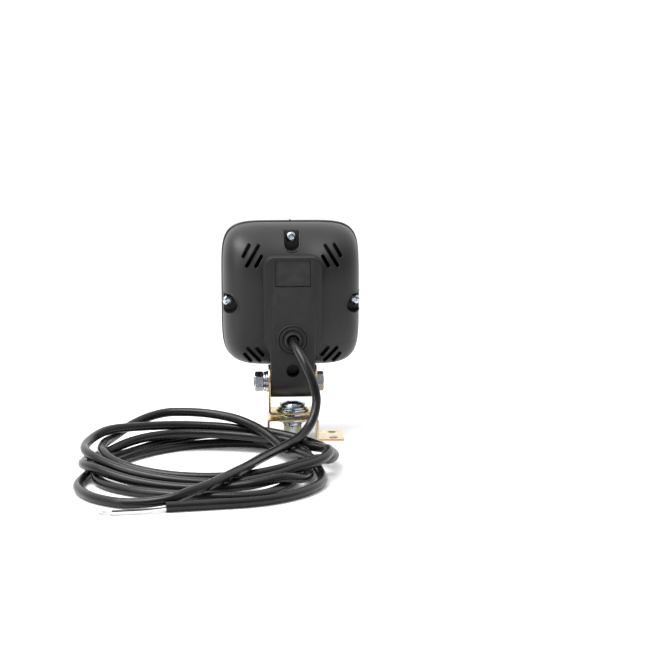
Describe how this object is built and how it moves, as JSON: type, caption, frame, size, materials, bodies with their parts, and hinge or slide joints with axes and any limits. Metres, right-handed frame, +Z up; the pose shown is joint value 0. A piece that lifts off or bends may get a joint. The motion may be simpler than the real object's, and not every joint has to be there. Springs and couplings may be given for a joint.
{
  "type": "fog light",
  "caption": "Square fog lamp with a clear fluted lens on a tilting yoke and swivel foot, with a coiled two-core lead.",
  "frame": {"origin": "on the swivel axis at the underside of the foot bracket, the centre of its four mounting holes", "axes": "+X across the lamp, +Y the way the lens faces, +Z up along the swivel axis"},
  "size_m": [0.2024, 0.2654, 0.1599],
  "materials": {
    "black_plastic": "fine grained, satin",
    "bezel_plastic": "satin",
    "lens_glass": "clear, fluted inside",
    "seal_rubber": "matte",
    "reflector_metal": "vacuum metallised",
    "bulb_glass": "clear",
    "bulb_metal": "plain",
    "zinc": "bright zinc plate",
    "yellow_zinc": "yellow chromate on zinc, iridescent",
    "brass": "plain",
    "sheath_pvc": "soft sheen PVC",
    "core_white": "PVC insulation",
    "core_black": "PVC insulation",
    "tinned_copper": "tinned strands"
  },
  "bodies": {
    "base": {"foot": "yellow_zinc"},
    "yoke": {"yoke": "yellow_zinc", "swivel_bolt": "zinc", "head_washers": "zinc", "swivel_washer": "zinc", "dish_washer": "zinc", "swivel_spring_washer": "zinc", "swivel_nut": "zinc", "tilt_bolt": "zinc", "tilt_washer": "zinc", "tilt_spring_washer": "zinc", "tilt_nut": "zinc", "cord_lead": "sheath_pvc", "cord_coil": "sheath_pvc", "cord_tail": "sheath_pvc", "core_live": "core_white", "core_earth": "core_black", "core_tips": "tinned_copper"},
    "lamp": {"housing": "black_plastic", "bezel": "bezel_plastic", "lens": "lens_glass", "lens_gasket": "seal_rubber", "reflector": "reflector_metal", "bulb_base": "bulb_metal", "bulb_glass": "bulb_glass", "bulb_clip": "zinc", "wire_live": "core_white", "wire_earth": "core_black", "spade_terminals": "brass", "grommet": "seal_rubber", "inner_sheath": "sheath_pvc", "case_screws": "zinc", "leg_sleeve": "zinc"}
  },
  "joints": [
    {"name": "swivel", "type": "hinge", "parent": "base", "child": "yoke", "pos_m": [0, 0, 0.017], "axis": [0, 0, 1], "range_deg": [-90, 90]},
    {"name": "tilt", "type": "hinge", "parent": "yoke", "child": "lamp", "pos_m": [0, 0, 0.0427], "axis": [1, 0, 0], "range_deg": [-40, 40], "deforming": ["cord_lead"]}
  ]
}
